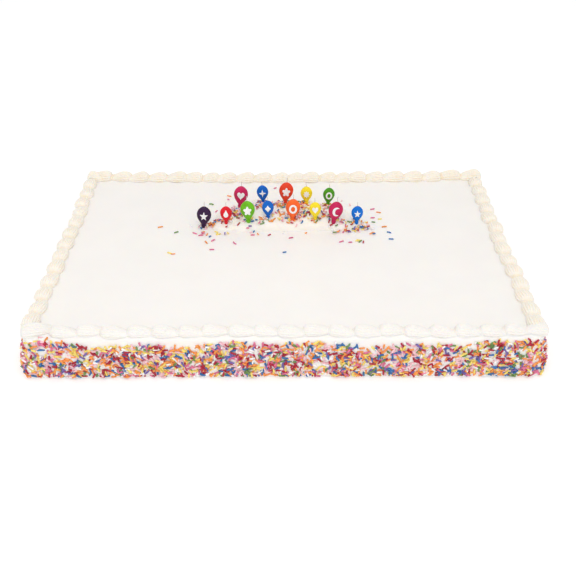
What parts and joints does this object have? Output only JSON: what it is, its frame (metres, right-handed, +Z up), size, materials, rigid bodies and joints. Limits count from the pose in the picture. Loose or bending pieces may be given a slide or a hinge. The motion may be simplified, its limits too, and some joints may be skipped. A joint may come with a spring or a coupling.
{
  "type": "birthday cake with candles",
  "caption": "Rectangular sheet cake in white icing with a piped shell border, sprinkled sides and rows of balloon-shaped candles standing in a mound of icing.",
  "frame": {"origin": "bottom centre of the cake, on the surface that it stands on", "axes": "+X along the long side, -Y towards the front that the candles face, +Z up"},
  "size_m": [0.6196, 0.4156, 0.1154],
  "materials": {
    "icing": "soft white buttercream, smooth and slightly satin",
    "piped_icing": "piped white buttercream, slightly creamier in its creases",
    "purple_wax": "smooth candle wax",
    "red_wax": "smooth candle wax",
    "leaf_green_wax": "smooth candle wax",
    "blue_wax": "smooth candle wax",
    "orange_wax": "smooth candle wax",
    "yellow_wax": "smooth candle wax",
    "crimson_wax": "smooth candle wax",
    "azure_wax": "smooth candle wax",
    "red_orange_wax": "smooth candle wax",
    "dark_green_wax": "smooth candle wax",
    "white_wax": "raised white wax ornament",
    "wick": "thin waxed cotton"
  },
  "bodies": {
    "root": {"cake": "icing", "border_front": "piped_icing", "border_back": "piped_icing", "border_left": "piped_icing", "border_right": "piped_icing", "icing_mound": "icing", "candle_01_body": "purple_wax", "candle_01_star": "white_wax", "candle_01_wick": "wick", "candle_02_body": "red_wax", "candle_02_drop": "white_wax", "candle_02_wick": "wick", "candle_03_body": "leaf_green_wax", "candle_03_flower": "white_wax", "candle_03_wick": "wick", "candle_04_body": "blue_wax", "candle_04_diamond": "white_wax", "candle_04_wick": "wick", "candle_05_body": "orange_wax", "candle_05_ring": "white_wax", "candle_05_wick": "wick", "candle_06_body": "yellow_wax", "candle_06_heart": "white_wax", "candle_06_wick": "wick", "candle_07_body": "crimson_wax", "candle_07_moon": "white_wax", "candle_07_wick": "wick", "candle_08_body": "azure_wax", "candle_08_star": "white_wax", "candle_08_wick": "wick", "candle_09_body": "crimson_wax", "candle_09_heart": "white_wax", "candle_09_wick": "wick", "candle_10_body": "blue_wax", "candle_10_sparkle": "white_wax", "candle_10_wick": "wick", "candle_11_body": "red_orange_wax", "candle_11_flower": "white_wax", "candle_11_wick": "wick", "candle_12_body": "yellow_wax", "candle_12_sun": "white_wax", "candle_12_wick": "wick", "candle_13_body": "dark_green_wax", "candle_13_ring": "white_wax", "candle_13_wick": "wick"}
  },
  "joints": []
}
